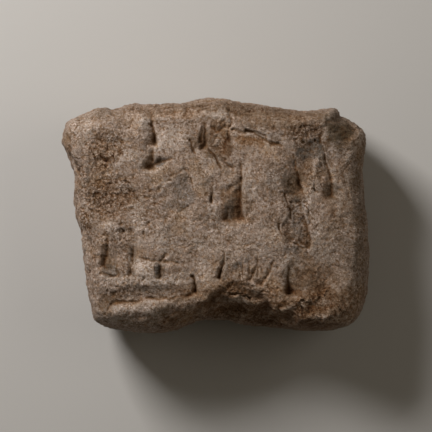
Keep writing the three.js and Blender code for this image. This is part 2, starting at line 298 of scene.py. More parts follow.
# Soft hollows of the face: (x, y, half length, half width, turn in degrees, depth).
# Those with a negative depth are swellings.
DENTS = [
    # the upper left
    (-23.2, 14.2, 3.0, 3.0, 20, -0.4),  # the full corner
    (-19.0, 10.6, 2.6, 4.4, 0, 0.4),  # the worn hollow below it
    (-18.9, 9.9, 1.0, 0.45, -50, 0.35),
    (-17.4, 10.2, 0.9, 0.9, 0, -0.3),
    (-15.6, 9.8, 1.3, 1.3, 0, -0.25),
    (-16.6, 12.2, 1.6, 3.0, -15, 0.35),
    (-14.4, 13.6, 1.3, 0.9, 10, -0.3),
    (-21.4, 7.6, 1.4, 2.4, 10, -0.35),
    (-12.6, 14.8, 1.3, 3.0, 0, -0.7),  # the swellings beside the deep strokes
    (-13.4, 8.9, 1.2, 1.5, 0, -0.25),
    (-11.2, 8.2, 0.9, 0.6, 30, 0.4),
    (-7.4, 13.2, 2.8, 3.6, 0, -0.25),  # the smooth field at their right
    # the top
    (0.5, 17.3, 2.2, 1.7, 0, -0.4),  # the smooth lump
    (0.8, 13.2, 2.5, 3.4, 0, 0.4),  # the broken hollow below it
    (1.9, 11.4, 0.8, 1.7, -5, 0.3),
    (6.4, 14.8, 3.8, 1.4, -16, -0.4),  # the flap above the crack
    # the upper right
    (16.2, 13.0, 3.0, 2.2, 0, 0.5),  # the dark hollow between the strokes
    (15.8, 11.2, 2.1, 1.3, 15, 0.5),
    (17.3, 9.3, 0.6, 1.8, -25, -0.3),  # the ridge between the deep strokes
    (16.1, 5.9, 1.3, 1.4, 0, -0.35),
    (24.4, 13.0, 0.9, 1.6, 10, -0.5),  # the rim of the chip
    # the left
    (-18.5, 3.2, 6.0, 3.4, -5, 0.45),  # the worn patch
    (-21.0, 1.6, 1.6, 2.0, 0, 0.35),
    (-15.4, 3.8, 1.8, 1.2, 10, 0.3),
    (-12.0, 6.0, 2.6, 1.6, 20, -0.3),
    (-17.9, -1.7, 1.8, 1.4, 0, -0.45),
    # the middle
    (-10.0, 1.0, 3.4, 2.0, 20, 0.25),
    (-13.0, -2.4, 3.0, 2.2, 0, 0.3),
    (-5.6, 2.6, 2.2, 3.2, 10, 0.3),
    (-2.2, 0.6, 2.2, 2.0, 0, -0.3),
    (-2.4, -6.6, 2.4, 3.0, 0, 0.25),
    (1.2, -2.6, 3.4, 2.4, 0, 0.15),
    (2.9, -0.2, 2.0, 1.4, 0, 0.4),  # the head of the widest stroke
    (5.4, 4.4, 0.8, 4.2, 0, -0.2),  # the lip at its right
    (9.0, 4.6, 3.0, 4.6, 0, -0.35),  # the smooth field beyond the lip
    (8.6, -4.4, 2.6, 2.4, 0, -0.25),
    # the right
    (13.8, -1.8, 2.2, 4.4, 8, 0.35),  # the trough
    (19.6, 1.2, 2.0, 3.4, 0, -0.3),
    (27.5, -1.0, 10.0, 20.0, 0, 1.0),  # the long slope down to the edge
    # the lower left
    (-11.4, -9.6, 2.2, 2.4, 0, -0.55),  # the pale block between the strokes
    (-13.2, -7.2, 2.2, 1.6, -30, 0.45),
    (-18.4, -14.6, 1.6, 1.5, 0, 0.45),
    (-11.4, -15.4, 6.8, 1.2, 4, -0.45),  # the ridge
    (-18.0, -17.3, 2.2, 1.3, 0, -0.35),
    (-6.5, -16.8, 4.0, 1.8, 12, 0.5),
    (-1.4, -12.4, 1.6, 2.4, 0, -0.3),
    # the lower right
    (17.6, -9.4, 3.6, 4.0, 0, 0.5),
    (13.2, -10.8, 1.9, 2.6, 0, 0.7),
    (12.2, -12.8, 1.1, 0.5, 0, 0.4),
    (10.0, -15.6, 4.4, 1.6, -8, 0.35),
    (16.4, -13.6, 3.0, 0.6, 0, -0.15),  # the lip above the crumbled edge
    (14.3, -14.4, 1.2, 0.8, 0, -0.3),
    (21.0, -17.0, 4.6, 1.7, 0, -0.7),  # the full edge
    (18.0, -17.7, 4.4, 1.1, 0, -0.8),
]
DENT_FALL = 3  # how suddenly a dent ends: 2 is a soft bell, and more is steeper

# Pieces broken away, each the inside of an ellipsoid: (centre x, y, z, half sizes x, y, z).
BREAKS = [
    (2.0, -26.4, 21, 9.4, 12.6, 11),
    (8.5, -25.1, 20.5, 8.0, 10.3, 9.6),
]
BREAK_RAGGEDNESS = 0.07  # both as shares of the break's size
BREAK_SOFTNESS = 0.12

# Flakes gone from the face: (border points, depth at their middle, extra depth per millimetre in x and in y,
# width of the wall round them).
FLAKES = [
    (  # at the right, under the deep strokes
        [(11.0, 3.9), (14.5, 3.9), (14.9, 0.4), (15.9, -1.4), (16.1, -4.4), (15.2, -5.5), (13.6, -4.8),
         (12.6, -4.3), (11.8, -3.7), (11.1, -3.0), (10.8, -2.1), (11.9, 0.4), (11.9, 2.1)],
        0.45, 0.14, -0.03, 0.45,
    ),
    (  # above the lower left ridge
        [(-18.1, -11.8), (-14.0, -11.6), (-8.0, -11.2), (-3.4, -10.4), (-2.9, -13.4), (-5.2, -14.1),
         (-9.5, -14.5), (-12.0, -14.3), (-15.4, -15.0), (-17.4, -15.4), (-18.2, -13.5)],
        0.24, 0, -0.13, 1.2,
    ),
    (  # the shelf above the broken edge
        [(-1.8, -14.9), (-1.2, -14.0), (-0.5, -13.2), (0.2, -12.3), (1.1, -11.5), (1.9, -10.8), (3.1, -10.5),
         (4.5, -10.6), (5.8, -11.1), (7.0, -12.0), (8.0, -13.2), (9.0, -14.5), (9.9, -15.9), (10.6, -21.0),
         (-3.4, -21.0)],
        0.8, 0, -0.2, 1.7,
    ),
    (  # under the lump at the top
        [(-1.3, 16.1), (0.6, 15.9), (2.1, 16.5), (2.6, 12.0), (1.9, 9.8), (0.2, 9.4), (-0.9, 10.9),
         (-1.5, 13.0)],
        0.4, 0.08, -0.03, 1.5,
    ),
    (  # the chip below the upper right corner
        [(20.2, 17.0), (22.6, 16.6), (25.2, 14.8), (23.6, 12.2), (20.6, 12.0), (18.9, 14.0)],
        0.7, 0.1, -0.02, 1.7,
    ),
    (  # between the strokes at the upper right
        [(12.4, 15.6), (15.0, 16.4), (18.0, 14.8), (17.6, 12.2), (14.9, 12.6), (12.4, 13.0)],
        0.2, 0, 0, 1.0,
    ),
    (  # a thin one left of the middle
        [(-11.6, 4.6), (-9.2, 5.2), (-7.4, 3.6), (-8.6, 1.8), (-11.2, 1.4), (-12.4, 3.0)],
        0.12, 0, 0, 0.3,
    ),
]


def distance_to(x, y, line):
    """Distance of each place from a line of points."""
    distance = np.full(len(x), np.inf)
    for (ax, ay), (bx, by) in zip(line[:-1], line[1:]):
        t = np.clip(((x - ax) * (bx - ax) + (y - ay) * (by - ay)) / ((bx - ax) ** 2 + (by - ay) ** 2), 0, 1)
        distance = np.minimum(distance, np.hypot(x - ax - t * (bx - ax), y - ay - t * (by - ay)))
    return distance


def flake_depth(x, y, border, depth, slope_x, slope_y, wall):
    """Depth of a flake's floor, with a wall that rises to nothing at its border."""
    closed = [*border, border[0]]
    inside = np.zeros(len(x), bool)
    for (ax, ay), (bx, by) in zip(closed[:-1], closed[1:]):
        if ay != by:
            inside ^= ((ay > y) != (by > y)) & (x < ax + (y - ay) * (bx - ax) / (by - ay))
    middle_x, middle_y = np.mean(border, axis=0)
    floor = np.maximum(depth + slope_x * (x - middle_x) + slope_y * (y - middle_y), 0)
    return np.where(inside, floor * smooth_step(distance_to(x, y, closed), 0, wall), 0)


# Cracks: (points along the crack, half width, depth).
CRACKS = [
    # the top
    ([(-10.9, 16.6), (-10.8, 15.8), (-10.6, 15.0)], 0.3, 0.3),
    ([(-4.3, 12.9), (-4.1, 11.5), (-3.5, 10.5)], 0.35, 0.5),
    ([(-1.1, 11.0), (-0.4, 10.1), (0.2, 9.2), (0.7, 8.2)], 0.35, 0.7),
    ([(1.6, 9.4), (2.2, 8.6), (2.9, 8.1)], 0.4, 0.3),
    ([(2.2, 18.3), (2.3, 17.2), (2.4, 15.8), (2.1, 14.2), (2.4, 12.6)], 0.4, 0.25),
    ([(2.9, 14.4), (4.6, 14.0), (5.5, 14.3), (6.8, 13.5), (7.9, 12.8), (9.2, 12.2), (10.9, 12.1)], 0.5, 0.45),
    ([(4.4, 14.9), (5.6, 14.1), (6.6, 14.2), (8.2, 13.4)], 0.4, 0.3),
    # the left and the middle
    ([(-19.9, 11.1), (-19.2, 10.1), (-18.3, 9.3)], 0.5, 0.5),
    ([(-20.0, 5.7), (-18.7, 5.4), (-17.3, 5.5), (-16.3, 5.2)], 0.35, 0.15),
    ([(-14.6, 4.0), (-13.9, 3.8), (-13.4, 3.0), (-12.9, 2.3)], 0.4, 0.2),
    ([(-11.0, 4.1), (-9.8, 4.3), (-9.3, 5.1), (-7.8, 6.0)], 0.35, 0.35),
    ([(-7.6, 6.8), (-6.9, 7.2), (-5.2, 7.9)], 0.3, 0.15),
    ([(-5.9, 0.7), (-5.2, 1.3), (-4.5, 1.9)], 0.35, 0.35),
    ([(4.3, 6.0), (3.4, 5.4), (2.4, 4.9), (1.9, 4.0)], 0.6, 0.25),
    ([(4.2, 8.4), (4.2, 4.3)], 0.4, 0.15),
    # round the trough at the right
    ([(10.9, 3.8), (12.0, 3.9), (13.2, 3.7), (14.4, 3.8)], 0.3, 0.12),
    ([(11.6, 3.6), (11.8, 2.6), (12.1, 1.6), (12.3, 0.8), (12.4, -0.4)], 0.3, 0.3),
    ([(10.8, -1.4), (10.7, -2.2), (11.1, -3.0), (11.8, -3.7), (12.6, -4.3), (13.6, -4.8), (14.8, -5.5)],
     0.35, 0.4),
    ([(15.2, -4.7), (15.3, -6.2)], 0.4, 0.4),
    # the lower left, with the long one above the ridge
    ([(-14.0, -6.8), (-11.2, -7.5), (-8.5, -7.9), (-6.4, -7.8)], 0.45, 0.3),
    ([(-9.2, -7.5), (-8.6, -6.9), (-8.0, -6.6)], 0.4, 0.3),
    ([(-19.6, -9.7), (-18.4, -9.9), (-16.8, -10.2)], 0.4, 0.3),
    ([(-4.0, -10.2), (-3.4, -11.2), (-3.1, -12.2), (-3.2, -13.2)], 0.5, 0.5),
    ([(-17.8, -11.6), (-17.6, -13.2), (-17.2, -14.6), (-17.9, -15.6), (-18.6, -16.3)], 0.5, 0.4),
    ([(-15.2, -13.0), (-14.4, -12.8), (-13.9, -13.1)], 0.45, 0.4),
    ([(-17.5, -14.9), (-16.6, -14.6), (-12.7, -14.3), (-11.9, -14.0), (-6.8, -14.0), (-4.7, -13.6),
      (-3.0, -13.2)], 0.5, 0.45),
    # above the broken lower edge
    ([(3.6, -11.2), (4.8, -11.9), (6.4, -12.1)], 0.5, 0.1),
    ([(2.6, -14.1), (3.4, -13.9), (4.3, -13.8)], 0.35, 0.25),
    ([(5.3, -14.4), (5.5, -14.6)], 0.4, 0.8),
]


def crack_depth(x, y, line, half_width, depth):
    return depth * (1 - smooth_step(distance_to(x, y, line), 0, half_width))


def bitten(points):
    """Points moved back to the wall of any break they lie in."""
    for centre_x, centre_y, centre_z, *half_sizes in BREAKS:
        centre = np.array([centre_x, centre_y, centre_z])
        inside = (points - centre) / half_sizes
        distance = np.linalg.norm(inside, axis=1, keepdims=True)
        reach = distance + BREAK_RAGGEDNESS * layered(points, 3.0, seed=31)[:, None]
        pushed = (reach + 1 + np.hypot(reach - 1, BREAK_SOFTNESS)) / 2
        points = centre + inside / distance * (distance + pushed - reach) * half_sizes
    return points


worn_x = wandering(x, seed=3)
worn_y = wandering(y, seed=5)
dents = sum(
    depth * np.exp(-(ellipse_distance(worn_x, worn_y, *place) ** DENT_FALL)) for *place, depth in DENTS
)
flakes = np.max([flake_depth(worn_x, worn_y, *flake) for flake in FLAKES], axis=0)
cracks = sum(crack_depth(worn_x, worn_y, *crack) for crack in CRACKS)
cracks *= np.clip(0.8 + 0.9 * bumps(slab, 1.4, seed=8), 0, 1.4)  # open in some places, closed in others

unbitten = slab.copy()
unbitten[:, 2] -= face_share * dents
worn = bitten(unbitten)
bite = np.linalg.norm(worn - unbitten, axis=1)


# ======================================================================================
# The writing
# Short strokes pressed into the damp clay with the corner of a reed: a narrow tail, a deep
# head, one steep wall and one gentle one. They are worn, and don't make any sign.
# ======================================================================================

# Strokes: (tail x, y, head x, y, width on the left, on the right, depth at the head).
# Left and right are as seen looking from the tail to the head.
STROKES = [
    # the first line
    (-10.5, 15.7, -10.0, 12.3, 0.25, 1.8, 1.6),
    (-10.7, 12.0, -10.4, 8.1, 0.35, 2.0, 1.5),
    (-7.4, 9.8, -10.4, 8.7, 0.7, 1.3, 1.4),
    (-6.9, 13.0, -6.8, 9.4, 0.2, 0.3, 0.15),
    (-3.0, 14.0, -3.2, 11.4, 0.25, 0.9, 0.3),
    (-1.7, 15.2, -1.8, 11.4, 0.8, 1.6, 1.5),
    (-2.2, 14.9, -2.4, 12.4, 0.9, 0.9, 1.1),
    (15.0, 15.4, 15.6, 13.4, 0.3, 1.0, 0.6),
    (17.5, 15.4, 17.8, 12.4, 0.3, 0.7, 0.5),
    # the second line
    (-5.0, 8.6, -4.0, 5.4, 0.2, 0.3, 0.2),
    (-0.6, 4.7, -0.7, 2.2, 0.3, 0.5, 1.0),
    (4.2, 8.8, 4.4, -0.3, 0.4, 3.5, 1.5),  # the widest
    (2.6, 2.6, 1.8, -0.7, 1.8, 1.5, 0.9),
    (12.9, 10.4, 14.3, 4.4, 0.35, 3.4, 1.05),
    (13.3, 9.8, 14.3, 4.6, 0.3, 0.7, 1.4),
    (17.8, 12.2, 19.5, 6.4, 0.35, 1.3, 0.7),
    (19.2, 7.0, 19.5, 3.4, 0.8, 2.0, 0.8),
    (19.6, 4.4, 21.0, 4.4, 0.3, 0.6, 0.4),
    # in the trough at the right
    (14.8, 3.6, 14.9, -1.0, 0.2, 0.6, 0.4),
    (15.7, 3.6, 15.8, -1.4, 0.2, 0.5, 0.4),
    (15.9, -1.0, 15.6, -5.2, 0.3, 1.3, 1.2),
    # the third line
    (-16.6, -1.0, -15.5, -2.6, 0.2, 0.5, 0.5),
    (-15.5, -2.5, -16.0, -4.2, 0.2, 0.4, 0.4),
    (-18.1, -3.7, -18.5, -8.5, 0.3, 1.7, 1.2),
    (-18.3, -4.0, -18.4, -7.4, 0.4, 1.2, 0.8),
    (-13.9, -4.5, -14.0, -7.5, 0.25, 0.5, 0.45),
    (-10.7, -1.3, -10.8, -3.0, 0.2, 0.3, 0.2),
    (1.5, -5.8, 0.7, -10.7, 0.35, 0.7, 1.1),
    (7.6, -7.2, 5.8, -11.0, 0.3, 0.8, 0.6),
    (10.0, -7.4, 7.8, -11.6, 0.35, 0.9, 0.8),
    (12.1, -9.0, 12.0, -13.1, 2.3, 0.45, 1.5),
    # the last line
    (-16.5, -8.0, -16.4, -9.8, 0.2, 0.6, 0.6),
    (-14.4, -8.0, -14.3, -9.9, 0.3, 1.0, 0.8),
    (-9.2, -7.8, -8.6, -6.2, 0.2, 0.3, 0.3),
    (-9.1, -7.9, -9.4, -10.4, 0.3, 1.3, 1.1),
    (-3.7, -10.1, -3.2, -13.1, 0.3, 1.4, 1.3),
]
TAIL_SHARE = 0.3  # width at the tail, as a share of the width at the head
TAIL_FADE = 1.6  # above 1, the depth falls off towards the tail faster than the width does
TAIL_RUN = 0.4  # length of the tail's wall
HEAD_RUN = 0.22  # length of the head's wall as a share of the width, on top of its least length
LEAST_RUN = 0.1
CORNER_SHARPNESS = 5  # how crisply the walls meet
LIP_SOFTNESS = 0.2  # how softly they run out on to the face
GENTLE_WIDTH = 1.2  # a wall wider than this bends, and runs out more softly still
GENTLE_BEND = 0.35
FAR = 9  # no wall counts as further away than this, in widths of its own

# Rows of small strokes side by side: (count, first x, step, tail y, head y, width, depth).
STROKE_ROWS = [
    (5, 3.7, 1.07, -4.6, -10.4, 0.5, 0.28),
    (3, -17.2, 3.1, 0.6, -2.6, 0.5, 0.18),
    (4, -8.3, 2.2, 5.4, 1.2, 0.4, 0.12),
    (4, 17.6, 1.7, 0.4, -4.6, 0.35, 0.08),
    (5, 14.4, 1.6, -6.8, -12.6, 0.3, 0.06),
]
STEEP_SHARE = 0.2  # the steep wall's share of a small stroke's width
UNEVENNESS = 0.3  # how far a small stroke strays from its place


def small_strokes():
    rng = np.random.default_rng(7)
    for count, first_x, step, tail_y, head_y, width, depth in STROKE_ROWS:
        for i in range(count):
            tail_off, head_off, above, below, lighter = rng.uniform(-1, 1, 5) * UNEVENNESS
            x = first_x + i * step
            tail = x + tail_off, tail_y + 2 * above
            head = x + head_off, head_y + 2 * below
            yield *tail, *head, width * STEEP_SHARE, width * (1 - STEEP_SHARE), depth * (1 + lighter)


def rounded_above_zero(value, softness):
    return (value + np.sqrt(value**2 + softness**2)) / 2


def stroke_depth(x, y, tail_x, tail_y, head_x, head_y, left, right, depth):
    """Depth pressed by one stroke at each place."""
    length = math.hypot(head_x - tail_x, head_y - tail_y)
    run_x, run_y = (head_x - tail_x) / length, (head_y - tail_y) / length
    along = (x - tail_x) * run_x + (y - tail_y) * run_y
    across = (y - tail_y) * run_x - (x - tail_x) * run_y
    share = TAIL_SHARE + (1 - TAIL_SHARE) * np.clip(along / length, 0, 1)
    width = np.where(across > 0, left, right)
    bend = 1 + GENTLE_BEND * (width > GENTLE_WIDTH)
    side_walls = np.maximum(1 - np.abs(across) / (width * share), -FAR)
    side_walls = np.where(side_walls > 0, np.abs(side_walls) ** bend, side_walls)
    head_wall = np.clip(1 - (along - length) / (HEAD_RUN * (left + right) + LEAST_RUN), -FAR, FAR)
    tail_wall = np.clip(1 + along / TAIL_RUN, -FAR, FAR)
    lowest = -np.log(sum(np.exp(-CORNER_SHARPNESS * wall) for wall in (side_walls, head_wall, tail_wall)))
    return depth * share**TAIL_FADE * rounded_above_zero(lowest / CORNER_SHARPNESS, LIP_SOFTNESS)


strokes = np.max(
    [stroke_depth(worn_x, worn_y, *stroke) for stroke in [*STROKES, *small_strokes()]], axis=0
)


# ======================================================================================
# The clay's surface
# Coarse river clay with sand in it: lumps and grit all over, crazed where it dried too fast,
# pitted where chaff has rotted out, and crumbled and layered where it is broken.
# ======================================================================================
def normals_of(mesh):
    normals = np.empty(len(mesh.vertices) * 3, np.float32)
    mesh.vertex_normals.foreach_get("vector", normals)
    return normals.reshape(-1, 3).astype(float)


# Where the surface is rough: (x, y, half length, half width, turn in degrees, strength).
ROUGH_PLACES = [
    (-18.3, 3.3, 6.6, 4.2, -5, 1.0), (-19.0, 10.8, 3.4, 4.2, 0, 1.0), (0.6, 12.2, 2.2, 3.2, 0, 0.5),
    (17.0, -15.6, 6.0, 2.8, 0, 1.0), (15.0, 14.2, 3.8, 2.2, 0, 0.8), (13.6, -1.2, 2.6, 5.0, 0, 0.5),
    (-14.0, -12.6, 4.6, 2.2, 0, 0.5), (-12.0, 1.0, 3.6, 5.0, 0, 0.5), (16.5, 6.5, 2.0, 3.4, 0, 0.6),
    (5.5, -13.2, 5.0, 2.4, 10, 0.4), (-16.5, -3.0, 4.0, 2.6, 0, 0.5), (0.0, 18.6, 24.0, 1.3, 0, 0.7),
    (-23.0, 2.0, 2.4, 14.0, 5, 0.8),
]
CRUMBLED_PLACES = [(17.6, -15.6, 6.6, 2.8, 0, 1.0)]
LUMPY_PLACES = [(-23.0, 2.0, 2.8, 15.0, 5, 1.0), (-9.0, 18.4, 9.0, 2.0, 0, 1.0)]
RUBBED_PLACES = [(19.5, -4.0, 4.5, 12.0, 0, 1.0)]
BORDER_RAGGEDNESS = 0.35  # of a place, as a share of its size
BORDER = (0.65, 1.15)  # where it starts to fade, and where it ends


def patches(places):
    """How strongly each point is in any of the places, from 0 to 1, with a ragged border."""
    ragged = BORDER_RAGGEDNESS * layered(slab, 2.2, seed=41)
    strengths = [
        strength * (1 - smooth_step(ellipse_distance(x, y, *place) + ragged, *BORDER))
        for *place, strength in places
    ]
    return np.max(strengths, axis=0) * face_share


bite_share = smooth_step(bite, 0.05, 0.8)  # 1 wherever at least 0.8 mm has broken away
side_share = 1 - face_share
rough = np.clip(np.maximum(patches(ROUGH_PLACES), 0.35 * bite_share) + 0.5 * side_share, 0, 1)
crumbled = patches(CRUMBLED_PLACES)
lumpy = 1 + 0.9 * patches(LUMPY_PLACES) - 0.4 * patches(RUBBED_PLACES)

combed = slab * (1, 0.16, 0.4)  # drawn out along y, as fingers drag wet clay
bedded = slab * (0.3, 1, 1)  # drawn out along x, as layers show in a broken edge
# And bent to and fro, so that the lines in it wind.
winding = slab + 0.4 * np.stack([bumps(slab, 1.4, seed=50 + axis) for axis in range(3)], axis=1)

# Layers of bumps: (where, height, points, size, seed).
relief = np.zeros(len(slab))
for where, height, points, size, seed in (
    (lumpy, 0.30, slab, 8.0, 11),
    (lumpy, 0.20, slab, 3.4, 12),
    (lumpy, 0.11, slab, 1.5, 13),
    (1 + rough, 0.075, slab, 0.75, 14),
    (1 + rough, 0.070, slab, 0.42, 15),
    (1 - rough, 0.035, combed, 0.5, 16),
    (rough, 0.20, slab, 2.2, 17),
    (rough, 0.12, slab, 1.1, 18),
    (bite_share, 0.18, bedded, 1.6, 19),
):
    relief += where * height * bumps(points, size, seed)
relief += rough * 0.10 * np.abs(bumps(slab, 0.6, seed=25))  # grains that stand proud
relief += crumbled * 0.36 * np.sqrt(np.abs(bumps(winding, 1.7, seed=20)))  # crumbs with cracks between them

# Fine creases, where the drying clay crazed: thin valleys along winding lines.
crazed = smooth_step(bumps(slab, 5.0, seed=53), -0.1, 0.5) * (0.45 + 0.75 * rough)
for size, width, depth, seed in ((3.2, 0.05, 0.13, 54), (1.6, 0.07, 0.12, 55)):
    relief -= depth * crazed * np.exp(-((bumps(winding, size, seed) / width) ** 2))

# Pits: (size, seed, the noise where a pit starts and where it is full, extra depth where it is rough).
PIT_DEPTH = 0.08
for size, seed, start, full, extra in ((0.9, 21, 0.5, 0.72, 0.25), (0.5, 24, 0.4, 0.65, 0.1)):
    relief -= smooth_step(bumps(slab, size, seed), start, full) * (PIT_DEPTH + extra * rough)

# Chips off the sides, where the noise stands highest.
CHIP_DEPTH = 0.3
relief -= CHIP_DEPTH * side_share * smooth_step(layered(slab, 4.5, seed=22), 0.42, 0.5)

worn += normals_of(tablet_mesh) * relief[:, None]
worn[:, 2] -= face_share * (np.maximum(flakes, strokes) + cracks)
worn[:, 2] = np.maximum(worn[:, 2], 0)

tablet_mesh.vertices.foreach_set("co", (worn * MM).ravel())
tablet_mesh.update()
for polygon in tablet_mesh.polygons:
    polygon.use_smooth = True

tablet = bpy.data.objects.new("clay_tablet", tablet_mesh)
bpy.context.scene.collection.objects.link(tablet)
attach(tablet, "root")
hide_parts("tablet")


# ======================================================================================
# The clay's finish
# Dry river clay: grey-tan and gritty, pale where handling has rubbed it, reddish brown in
# fresh breaks, with a few blue-grey and olive stains. Dirt and painted shade darken the strokes
# and hollows, painted shade darkens the sides and places beside steps, painted shadow lies in
# the chip below the upper right corner, and painted highlights lie on slopes that face the lamp.
# ======================================================================================

# Where the clay has changed colour: (x, y, half length, half width, turn in degrees, strength).
# Broken clay is reddish brown and stained clay is blue-grey. Pale places are partly rubbed clay and
# partly painted highlights, olive places are partly olive stain and partly painted shadow, and the
# shade-and-dirt places are partly dirt worked in and partly painted shade.
BROKEN_PLACES = [
    # the upper left
    (-19.0, 10.4, 3.0, 3.6, 0, 0.5),
    # the top
    (0.0, 18.6, 24.0, 1.4, 0, 0.25), (-6.5, 18.0, 8.0, 2.0, 0, 0.5), (0.6, 13.2, 2.2, 3.4, 0, 0.65),
    (5.4, 12.6, 3.0, 0.9, -10, 0.9),
    # the upper right
    (12.0, 16.2, 9.0, 2.2, -4, 0.45), (22.5, 13.6, 2.0, 2.6, 0, 1.0),
    # the left
    (-17.0, 3.4, 7.0, 4.0, 0, 0.3),
    # the middle
    (3.0, 1.4, 2.4, 3.4, 0, 0.6), (4.3, -0.7, 1.5, 0.9, 0, 0.9),
    # the right
    (13.8, 5.4, 2.0, 3.0, 0, 0.5), (20.6, 3.4, 2.6, 6.0, 0, 0.4),
    # the lower left
    (-14.0, -10.4, 4.0, 0.8, 0, 0.2), (-14.0, -14.6, 3.0, 0.8, 0, 0.4),
    # the bottom
    (4.0, -14.3, 9.0, 3.0, 0, 0.8), (-4.0, -17.6, 6.0, 2.0, 12, 0.8),
    # the lower right
    (17.6, -10.5, 6.0, 2.4, 0, 0.35), (23.0, -15.0, 3.4, 3.6, 0, 0.8), (17.4, -15.4, 6.4, 3.6, 0, 1.0),
    (15.0, -17.0, 13.0, 3.8, 0, 1.0),
]
STAINED_PLACES = [
    (-5.8, 4.2, 1.8, 3.4, 10, 0.6), (15.6, 10.7, 2.8, 1.5, 16, 1.0), (13.3, 8.9, 0.9, 0.8, 0, 0.6),
    (16.6, 12.0, 1.6, 1.1, 0, 0.9), (13.0, -5.7, 1.7, 0.9, 0, 0.7), (3.6, -8.4, 0.9, 0.8, 0, 0.8),
    (-9.8, -8.9, 0.6, 1.1, 0, 1.0), (2.3, 1.0, 1.0, 1.7, 0, 0.7), (-9.4, 9.1, 1.5, 0.7, 30, 1.0),
    (-6.8, 1.8, 2.6, 1.3, 0, 0.5), (-17.8, 12.9, 1.6, 0.8, 0, 0.5), (13.7, 0.3, 1.3, 3.4, 0, 0.45),
    (10.0, 7.0, 2.2, 2.6, 0, 0.3), (-14.2, -6.0, 0.7, 1.8, 0, 0.5),
]
# Partly olive stain and partly painted shadow. The first place paints the lump's shadow into the chip below
# the upper right corner.
OLIVE_AND_SHADE_PLACES = [
    (20.8, 14.4, 2.8, 3.0, -20, 1.0), (25.0, 0.0, 2.0, 14.0, 0, 0.5), (19.2, 4.4, 1.3, 1.8, 0, 0.6),
    (13.0, 5.2, 1.7, 2.4, 0, 0.5), (-12.0, -12.4, 5.0, 1.2, 0, 0.3), (-17.9, -9.2, 1.2, 1.0, 0, 0.5),
]
